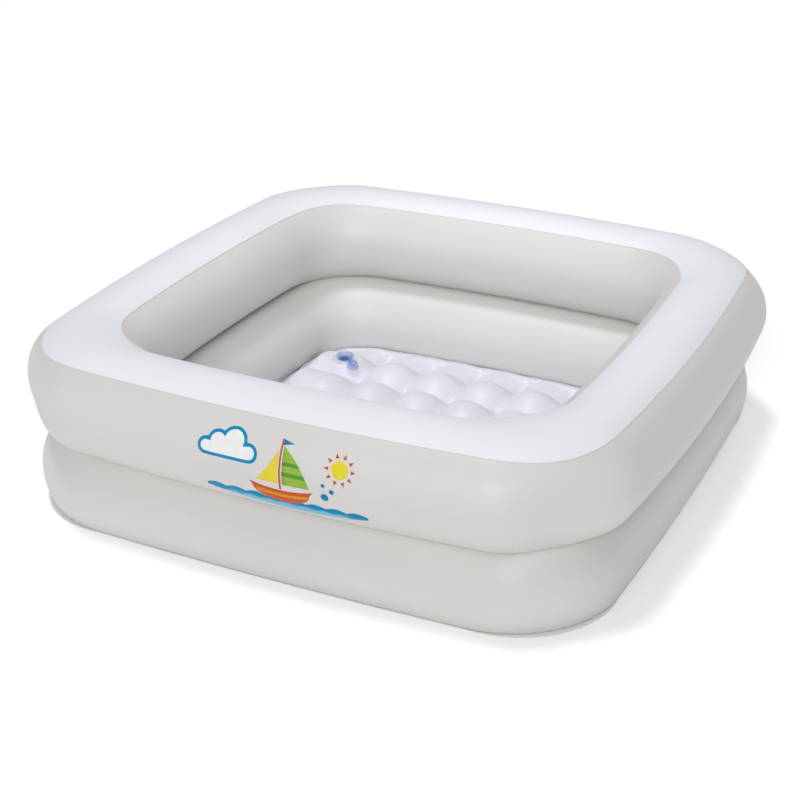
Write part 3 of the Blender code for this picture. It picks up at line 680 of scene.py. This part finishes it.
def cloud_shape(middle, grow):
    """A cloud: the outline round four puffs that stand on a flat underside."""
    puffs = ((-24, -1, 7), (-11, 6, 9.5), (7, 10, 12), (24, 0, 8))
    underside, half_underside = 8, 22
    outline = []
    for angle in np.linspace(0.0, 2 * np.pi, 144, endpoint=False):
        aim = np.array((math.cos(angle), math.sin(angle)))
        reach = 0.0
        for x, up, size in puffs:
            along = x * aim[0] + up * aim[1]
            aside = x * x + up * up - along * along
            if aside < (size + grow) ** 2:
                reach = max(reach, along + math.sqrt((size + grow) ** 2 - aside))
        if aim[1] < 0:
            under = (underside + grow) / -aim[1]
            reach = min(max(reach, half_underside / max(abs(aim[0]), 0.001)), under)
        outline.append((middle[0] + reach * aim[0], middle[1] + reach * aim[1]))
    return outline


deck = bowed((-36, -9), (34, -8), 5)
leech = bowed((30, -5), (0.5, 34), 4)


def sail_band(low, high):
    """A stripe across the main sail, from the mast to the sail's bowed edge."""
    ups = np.linspace(low, high, 5)
    edge = np.interp(ups, [point[1] for point in leech], [point[0] for point in leech])
    return [(0.5, low)] + list(zip(edge, ups)) + [(0.5, high)]


rays = []
for turned in np.radians(np.arange(0, 360, 36)):
    aim = np.array((math.cos(turned), math.sin(turned)))
    side = np.array((-aim[1], aim[0]))
    corners = (12 * aim - 2 * side, 17 * aim, 12 * aim + 2 * side)
    rays.append([tuple(np.array((62, 22)) + corner) for corner in corners])

hull = deck + ellipse((-2, -13), (31, 17), 0, -180, 24)
foresail = [(-4.5, -6), (-4.5, 30)] + bowed((-4.5, 30), (-28, -5), -2)[1:]
pennant = [(-1, 41), (-1, 35), (11, 38)]
drops = [ellipse(at, (size, size)) for at, size in (((46, -10), 4), ((54, -2), 2.6), ((45, 3), 2))]
stripe = [(x, up - 4.5) for x, up in deck[1:-1]] + [(x, up - 8.5) for x, up in deck[-2:0:-1]]
print_plan = (
    ("teal", "#0A93C6", 0, [wave_shape(88, -27, 3.5, 22, -41, 10), cloud_shape((-62, 19), 2.5)]),
    ("orange", "#D8591F", 1, [hull, [(-3, -12), (-1, -12), (-1, 41), (-3, 41)]] + rays),
    ("yellow", "#F3E03A", 1, [ellipse((62, 22), (9, 9)), foresail]),
    ("green", "#9BC449", 1, [[(0.5, -6)] + leech]),
    ("white", "#FAFAFA", 1, [cloud_shape((-62, 19), -1.0)]),
    ("amber", "#E59C2E", 2, [stripe]),
    ("dark_green", "#5F9E3D", 2, [sail_band(4, 8), sail_band(15, 18.5)]),
    ("deep_teal", "#0587BA", 2, [pennant] + drops),
    ("light_blue", "#7FC9E8", 3, [wave_shape(70, -34, 2.5, 20, -42, 8)]),
)
for ink_name, colour, layer, outlines in print_plan:
    bm = bmesh.new()
    for outline in outlines:
        bm.faces.new([bm.verts.new((x, up, 0.0)) for x, up in outline])
    bm.normal_update()
    bmesh.ops.triangulate(bm, faces=bm.faces, ngon_method="EAR_CLIP")
    # Cuts across the flat shapes, so that they bend with the film
    for axis, cuts in ((Vector((1, 0, 0)), range(-88, 89, 8)), (Vector((0, 1, 0)), range(-42, 42, 3))):
        for cut in cuts:
            bmesh.ops.bisect_plane(
                bm, geom=bm.verts[:] + bm.edges[:] + bm.faces[:], plane_co=cut * axis, plane_no=axis
            )
    for vert in bm.verts:
        vert.co = on_front(vert.co.x, vert.co.y, INK_CLEARANCE + layer * INK_STEP)
    bm.normal_update()
    bmesh.ops.reverse_faces(bm, faces=[face for face in bm.faces if face.normal.y > 0])
    ink = screen_ink(f"{ink_name}_screen_ink", colour)
    ink_skin = finish_piece(f"print_{ink_name}", bm, ink)
    give_thickness(ink_skin, INK)
    ink_skin.modifiers["film"].use_even_offset = False


# Top panel: a ring of cool white PVC film, matt, lying over the turned-in walls. The weld leaves
# a pressed track just inside each of its two edges.
white_film = soft_film("cool_white_pvc_film", "#F4F5FB", 0.55, 30.0, 0.35)
TRACK_DEPTH = 0.00012
TRACK_FROM_EDGE = 0.003
TRACK_WIDTH = 0.0012
top_lift = FILM + WELD_GAP


def top_row(distance_share):
    """A row of the top panel, pressed in over the middle of either weld."""
    share = distance_share * np.ones((column_count, 1))
    from_edge = (1.0 - np.abs(share)) / tab_share * WELD_TAB
    pressed = np.exp(-(((from_edge - TRACK_FROM_EDGE) / TRACK_WIDTH) ** 2)) * TRACK_DEPTH
    return arc_points(top_arc, share, top_lift - pressed)


# Close rows over each weld, and wider ones over the middle
edge_shares = 1.0 - np.linspace(0.0, 0.16, 9)
middle_shares = np.linspace(-0.80, 0.80, 22)
shares = np.concatenate((-edge_shares, middle_shares, edge_shares[::-1]))
bm = bmesh.new()
grow_rows(bm, [top_row(share) for share in shares])
top_panel = finish_piece("top_film", bm, white_film, outward=lambda at: Vector((0, 0, 1)))
give_thickness(top_panel)
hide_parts("top_panel")


# Padded floor: white PVC film with a violet cast, tied to the base sheet by rows of weld dots,
# so that the air lifts it into round bubbles. Its edge rolls down to a weld on the base sheet.
# The film is satin, so each bubble catches a soft light.
floor_film = soft_film("white_violet_pvc_film", "#E4E4EE", 0.42, 22.0, 0.5)
FLOOR_EDGE_GAP = 0.0055
SHOULDER_INSET = 0.0027
SHOULDER_HEIGHT = 0.0122
COLUMN_PITCH = 0.0765
ROW_PITCH = 0.0745
ROW_START = -0.0180
BUBBLE_CREST = 0.0305
BUBBLE_SADDLE = 0.0135
VALLEY_RADIUS = 0.0011
VALLEY_FLOOR = 0.0095
DOT_SPREAD = 0.0075
DOT_HEIGHT = 0.0012
SWELL = 0.0012
WRINKLE = 0.0016
WRINKLE_PITCH = 0.0058
EDGE_STRIP = 0.026
CORNER_REACH = 0.0026
FLOOR_FADE = 0.030
FLOOR_CELLS = 150
PAD_RADIUS = 0.0225
PAD_FADE = 0.010
PAD_HEIGHT = 0.0275
VALVE_FROM_SIDE = 0.074
VALVE_FROM_BACK = 0.102
valve_x, valve_y = VALVE_FROM_SIDE - FOOT_INNER[0], FOOT_INNER[0] - VALVE_FROM_BACK


def smooth_step(value):
    value = np.clip(value, 0.0, 1.0)
    return value * value * (3.0 - 2.0 * value)


edge_line, _ = weld_line(FOOT_INNER, FILM + WELD_GAP, inset=FLOOR_EDGE_GAP)
shoulder, outwards = weld_line(FOOT_INNER, SHOULDER_HEIGHT, inset=FLOOR_EDGE_GAP + SHOULDER_INSET)
shoulder += CORNER_REACH * corner_share[:, None] * outwards
shoulder_angle = np.arctan2(shoulder[:, 1], shoulder[:, 0])
shoulder_reach = np.hypot(shoulder[:, 0], shoulder[:, 1])
order = np.argsort(shoulder_angle)
shoulder_angle, shoulder_reach = shoulder_angle[order], shoulder_reach[order]


def reach_at(angle):
    return np.interp(angle, shoulder_angle, shoulder_reach, period=2 * np.pi)


def edge_swell(x, y):
    """1 where a bubble meets the floor's edge, -1 between two bubbles, 0 round the corners."""
    column_wave = np.cos(2 * np.pi * (x - COLUMN_PITCH / 2) / COLUMN_PITCH)
    row_wave = np.cos(2 * np.pi * (y - ROW_START - ROW_PITCH / 2) / ROW_PITCH)
    angle = np.arctan2(y, x)
    return column_wave * np.abs(np.sin(angle)) ** 8 + row_wave * np.abs(np.cos(angle)) ** 8


def bubbles(x, y):
    """The air-filled film: round bubbles that meet in narrow valleys, tied down at the dots."""
    x = np.clip(x, -2.5 * COLUMN_PITCH, 2.5 * COLUMN_PITCH)
    y = np.clip(y, ROW_START - 3 * ROW_PITCH, ROW_START + 3 * ROW_PITCH)
    dx = x - COLUMN_PITCH / 2
    dx = np.abs(dx - COLUMN_PITCH * np.round(dx / COLUMN_PITCH))
    dy = y - ROW_START - ROW_PITCH / 2
    dy = np.abs(dy - ROW_PITCH * np.round(dy / ROW_PITCH))
    fall = (BUBBLE_CREST - BUBBLE_SADDLE) / (ROW_PITCH / 2) ** 2
    caps = [
        BUBBLE_CREST - fall * ((dx - step_x) ** 2 + (dy - step_y) ** 2)
        for step_x in (0.0, COLUMN_PITCH)
        for step_y in (0.0, ROW_PITCH)
    ]
    caps.append(np.full_like(dx, VALLEY_FLOOR))
    height = VALLEY_RADIUS * np.logaddexp.reduce(np.array(caps) / VALLEY_RADIUS, axis=0)
    to_dot = np.hypot(COLUMN_PITCH / 2 - dx, ROW_PITCH / 2 - dy)
    return height - (VALLEY_FLOOR - DOT_HEIGHT) * np.exp(-((to_dot / DOT_SPREAD) ** 2))


def floor_height(x, y):
    """Top of the padded floor, level round the valve, wrinkled between bubbles at its edge."""
    angle = np.arctan2(y, x)
    inside = reach_at(angle) - np.hypot(x, y)
    swell = edge_swell(x, y)
    shoulder_height = SHOULDER_HEIGHT + SWELL * swell
    fade = smooth_step(inside / FLOOR_FADE)
    height = shoulder_height + (bubbles(x, y) - shoulder_height) * fade
    drift = 2.0 * np.sin(11 * angle) + 1.3 * np.sin(29 * angle + 1.0)
    fold = np.sin(2 * np.pi * inside / WRINKLE_PITCH + drift)
    fold = fold * (0.6 + 0.4 * np.sin(41 * angle + 90 * inside))
    height = height + WRINKLE * fold * (1.0 - fade) * smooth_step((0.7 - swell) / 1.2)
    to_pad = smooth_step((np.hypot(x - valve_x, y - valve_y) - PAD_RADIUS) / PAD_FADE)
    return PAD_HEIGHT + (height - PAD_HEIGHT) * to_pad


# A square grid is drawn out to the round corners of the floor, short of its edge
bm = bmesh.new()
bmesh.ops.create_grid(bm, x_segments=FLOOR_CELLS, y_segments=FLOOR_CELLS, size=1.0)
flat = np.array([vert.co[:2] for vert in bm.verts])
ring_share = np.abs(flat).max(axis=1)
angle = np.arctan2(flat[:, 1], flat[:, 0])
square_reach = 1.0 / np.maximum(np.abs(np.cos(angle)), np.abs(np.sin(angle)))
half = FOOT_INNER[0] - FLOOR_EDGE_GAP - SHOULDER_INSET - EDGE_STRIP
rounded = (reach_at(angle) - EDGE_STRIP) / (square_reach * half)
fit = (1.0 + (rounded - 1.0) * ring_share**5)[:, None]
plan = flat * half * fit
heights = floor_height(plan[:, 0], plan[:, 1])
for vert, point, height in zip(bm.verts, plan, heights):
    vert.co = (point[0], point[1], height)
rim = [edge for edge in bm.edges if edge.is_boundary]
edge_angle = np.arctan2(edge_line[:, 1], edge_line[:, 0])
edge_reach = np.hypot(edge_line[:, 0], edge_line[:, 1])
order = np.argsort(edge_angle)
edge_angle, edge_reach = edge_angle[order], edge_reach[order]
# From there the film runs on to the shoulder and rolls down to its weld
weld_height = FILM + WELD_GAP
strip_rows = [(inside, 0.0) for inside in np.linspace(EDGE_STRIP, 0.0, 27)[1:]]
roll_rows = [(0.0, roll) for roll in np.linspace(0.0, math.pi / 2, 7)[1:]]
for inside, roll in strip_rows + roll_rows:
    grown = bmesh.ops.extrude_edge_only(bm, edges=rim)["geom"]
    rim = [item for item in grown if isinstance(item, bmesh.types.BMEdge)]
    fresh = [item for item in grown if isinstance(item, bmesh.types.BMVert)]
    turned = np.array([math.atan2(vert.co.y, vert.co.x) for vert in fresh])
    top, foot = reach_at(turned), np.interp(turned, edge_angle, edge_reach, period=2 * np.pi)
    top_height = floor_height((top - inside) * np.cos(turned), (top - inside) * np.sin(turned))
    reach = top - inside + (foot - top) * (1.0 - math.cos(roll) ** 1.5)
    height = weld_height + (top_height - weld_height) * math.cos(roll)
    for vert, angle_round, out, level in zip(fresh, turned, reach, height):
        vert.co = (out * math.cos(angle_round), out * math.sin(angle_round), level)
open_stem_hole(bm, seats["floor"])
floor_pad = finish_piece("floor_film", bm, floor_film, outward=lambda at: Vector((0, 0, 1)))
give_thickness(floor_pad)
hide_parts("floor_sheet")


# Valves: one in the floor and one at the back of each ring, moulded in soft PVC. A clear flange is
# welded to the film round its hole. A blue collar with the stem stands in it, and its strap holds
# the stopper, which lies beside the floor valve and is pushed home in the other two.
FLANGE_RADIUS = 0.0205
FLANGE_THICKNESS = 0.001
FLANGE_EDGE = 0.0005
WELD_RING_OUTER = 0.0178
WELD_RING_INNER = 0.0158
WELD_RING_RISE = 0.0004
CLEARANCE = 0.0002
COLLAR_RADIUS = 0.0128
COLLAR_FOOT_RADIUS = 0.0108
COLLAR_HEIGHT = 0.007
STEM_RADIUS = 0.0083
STEM_DEPTH = 0.008
BORE_RADIUS = 0.0069
MOUTH_RADIUS = 0.0108
CAP_RADIUS = 0.0092
CAP_THICKNESS = 0.0012
PLUG_RADIUS = 0.0066
PLUG_LENGTH = 0.006
HOLLOW_RADIUS = 0.0036
STRAP_WIDTH = 0.004
STRAP_THICKNESS = 0.0008
FLOOR_STOPPER_TURN = 208
EDGE_ROUND = 0.00025


def moulded_pvc(name, colour, roughness, opacity):
    """Soft moulded PVC: what lies behind shows through its glossy skin, which has flow marks."""
    vinyl = bpy.data.materials.new(name)
    vinyl.use_nodes = True
    shader = vinyl.node_tree.nodes["Principled BSDF"]
    shader.inputs["IOR"].default_value = 1.53
    place = add_node(vinyl, "ShaderNodeTexCoord")
    flow = add_node(
        vinyl, "ShaderNodeTexNoise", Vector=place.outputs["Object"], Scale=1000 / 7, Detail=2.0
    )
    tint = add_node(
        vinyl,
        "ShaderNodeMix",
        {"data_type": "RGBA"},
        Factor=flow.outputs["Fac"],
        i6=linear(colour),
        i7=linear(shaded(colour, 0.93)),
    )
    vinyl.node_tree.links.new(tint.outputs[2], shader.inputs["Base Color"])
    polish = add_node(
        vinyl,
        "ShaderNodeMapRange",
        Value=flow.outputs["Fac"],
        To_Min=roughness - 0.04,
        To_Max=roughness + 0.06,
    )
    vinyl.node_tree.links.new(polish.outputs[0], shader.inputs["Roughness"])
    # More of the skin's own colour where the eye looks along it
    edge = add_node(vinyl, "ShaderNodeLayerWeight", Blend=0.35)
    cover = add_node(
        vinyl,
        "ShaderNodeMapRange",
        Value=edge.outputs["Facing"],
        To_Min=opacity,
        To_Max=min(opacity + 0.45, 1.0),
    )
    vinyl.node_tree.links.new(cover.outputs[0], shader.inputs["Alpha"])
    marks = add_node(
        vinyl, "ShaderNodeBump", Height=flow.outputs["Fac"], Strength=0.2, Distance=0.0003
    )
    vinyl.node_tree.links.new(marks.outputs[0], shader.inputs["Normal"])
    return vinyl


# The clear flange is seen mostly by its rim, and the blue parts are a tinted, half-clear gloss
clear_pvc = moulded_pvc("clear_moulded_pvc", "#EEF0F8", 0.12, 0.10)
blue_pvc = moulded_pvc("blue_moulded_pvc", "#83AAEC", 0.18, 0.22)


def film_under(name):
    """Height of the film in a valve's frame, as a function of the place in that frame."""
    if name == "floor":
        level = PAD_HEIGHT - seats[name].translation.z
        return lambda x, y: level
    arc = {"upper": upper_outer_arc, "lower": lower_outer_arc}[name]
    back = slice(SIDE_COLUMNS + CORNER_COLUMNS, 2 * SIDE_COLUMNS + CORNER_COLUMNS)
    column = back.start + int(np.argmin(np.abs(arc[0][back, 0] - seats[name].translation.x)))
    to_seat = seats[name].inverted()
    run = [to_seat @ Vector(arc_points(arc, share)[column]) for share in np.linspace(-1, 1, 61)]
    run.sort(key=lambda at: at.x)
    along, up = [at.x for at in run], [at.z for at in run]
    return lambda x, y: float(np.interp(x, along, up)) - y * y / (2 * SIDE_BOW)


def turned_solid(bm, profile, steps):
    """Spins a closed profile of radius and height about the valve's axis."""
    verts = [bm.verts.new((radius, 0.0, height)) for radius, height in profile]
    edges = [bm.edges.new((a, b)) for a, b in zip(verts, verts[1:] + verts[:1])]
    bmesh.ops.spin(
        bm,
        geom=verts + edges,
        cent=(0.0, 0.0, 0.0),
        axis=(0.0, 0.0, 1.0),
        angle=2 * math.pi,
        steps=steps,
        use_merge=True,
    )
    bmesh.ops.remove_doubles(bm, verts=bm.verts, dist=0.000002)


def block(bm, low, high):
    """A small block between two corners."""
    low, high = Vector(low), Vector(high)
    place = Matrix.Translation((low + high) / 2) @ Matrix.Diagonal((*(high - low), 1.0))
    bmesh.ops.create_cube(bm, size=1.0, matrix=place)


def finish_moulding(name, bm, place, material, body, nodes):
    """Sets a moulding in its valve's frame, with softened edges."""
    bmesh.ops.recalc_face_normals(bm, faces=bm.faces)
    bmesh.ops.transform(bm, matrix=place, verts=bm.verts)
    moulding = finish_piece(name, bm, material, body)
    soft_edge = moulding.modifiers.new("soft_edge", "BEVEL")
    soft_edge.width = EDGE_ROUND
    soft_edge.segments = 2
    soft_edge.limit_method = "ANGLE"
    soft_edge.angle_limit = math.radians(35)
    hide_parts(nodes)


for name, seat in seats.items():
    film_level = film_under(name)
    base = film_level(0.0, 0.0) + CLEARANCE

    # Flange, thin at its edge, with a moulded weld ring half way in
    bm = bmesh.new()
    inner = COLLAR_FOOT_RADIUS + WELD_GAP
    under = [(radius, CLEARANCE) for radius in np.linspace(inner, FLANGE_RADIUS, 6)]
    over = [
        (FLANGE_RADIUS, FLANGE_EDGE),
        (FLANGE_RADIUS - 0.0008, FLANGE_THICKNESS),
        (WELD_RING_OUTER, FLANGE_THICKNESS),
        (WELD_RING_OUTER - 0.0005, FLANGE_THICKNESS + WELD_RING_RISE),
        (WELD_RING_INNER + 0.0005, FLANGE_THICKNESS + WELD_RING_RISE),
        (WELD_RING_INNER, FLANGE_THICKNESS),
        (0.0135, FLANGE_THICKNESS),
        (inner, FLANGE_THICKNESS),
    ]
    turned_solid(bm, under + over, 72)
    for vert in bm.verts:
        vert.co.z += film_level(vert.co.x, vert.co.y)
    finish_moulding(
        f"{name}_valve_flange", bm, seat, clear_pvc, "tub", f"{name}_valve_body"
    )

    # Collar and stem, with the post for the strap and the lug for the flap
    bm = bmesh.new()
    turned_solid(
        bm,
        [
            (MOUTH_RADIUS, COLLAR_HEIGHT - 0.0004),
            (MOUTH_RADIUS + 0.0004, COLLAR_HEIGHT),
            (COLLAR_RADIUS - 0.0008, COLLAR_HEIGHT),
            (COLLAR_RADIUS - 0.0002, COLLAR_HEIGHT - 0.0003),
            (COLLAR_RADIUS, COLLAR_HEIGHT - 0.0009),
            (COLLAR_RADIUS, 0.0034),
            (COLLAR_RADIUS - 0.0006, 0.0029),
            (COLLAR_FOOT_RADIUS, 0.0021),
            (COLLAR_FOOT_RADIUS, base),
            (STEM_RADIUS, base),
            (STEM_RADIUS, -STEM_DEPTH),
            (BORE_RADIUS, -STEM_DEPTH),
            (BORE_RADIUS, COLLAR_HEIGHT - 0.0045),
            (BORE_RADIUS + 0.0006, COLLAR_HEIGHT - 0.0036),
        ],
        72,
    )
    post_foot = film_level(FOLD_REACH, 0.0) + FLANGE_THICKNESS
    block(
        bm,
        (FOLD_REACH - 0.0004, -STRAP_WIDTH / 2, post_foot),
        (FOLD_REACH + 0.0004, STRAP_WIDTH / 2, FOLD_HEIGHT - 0.0009),
    )
    block(
        bm,
        (-HINGE_REACH, -STRAP_WIDTH / 2, -STEM_DEPTH),
        (-STEM_RADIUS + 0.0007, STRAP_WIDTH / 2, -STEM_DEPTH + 0.0025),
    )
    finish_moulding(
        f"{name}_valve_collar", bm, seat, blue_pvc, "tub", f"{name}_valve_body"
    )

    # Stopper: a hollow tapered plug under a round cap, on a flat strap
    bm = bmesh.new()
    seat_level = -STRAP_THICKNESS / 2
    cap_top = seat_level + CAP_THICKNESS
    plug_end = seat_level - PLUG_LENGTH
    turned_solid(
        bm,
        [
            (0.0, cap_top - 0.0003),
            (0.0052, cap_top - 0.0003),
            (0.0058, cap_top),
            (CAP_RADIUS - 0.0005, cap_top),
            (CAP_RADIUS, cap_top - 0.0005),
            (CAP_RADIUS, seat_level),
            (PLUG_RADIUS, seat_level),
            (PLUG_RADIUS - 0.001, plug_end + 0.0005),
            (PLUG_RADIUS - 0.0015, plug_end),
            (HOLLOW_RADIUS, plug_end),
            (HOLLOW_RADIUS, plug_end + 0.0045),
            (0.0, plug_end + 0.0045),
        ],
        64,
    )
    bmesh.ops.translate(bm, vec=(-FOLD_REACH, 0.0, 0.0), verts=bm.verts)
    half_strap = STRAP_WIDTH / 2
    block(
        bm,
        (CAP_RADIUS - FOLD_REACH - CAP_THICKNESS, -half_strap, seat_level),
        (0.0004, half_strap, -seat_level),
    )
    turn = FLOOR_STOPPER_TURN if name == "floor" else 0
    place = seat @ Matrix.Translation((FOLD_REACH, 0.0, FOLD_HEIGHT))
    place @= Matrix.Rotation(math.radians(turn), 4, "Y")
    finish_moulding(
        f"{name}_stopper",
        bm,
        place,
        blue_pvc,
        f"{name}_stopper",
        f"{name}_valve_stopper",
    )

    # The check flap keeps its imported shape, in the same blue moulded PVC
    bpy.data.objects[f"{name}_valve_flap"].material_slots[0].material = blue_pvc
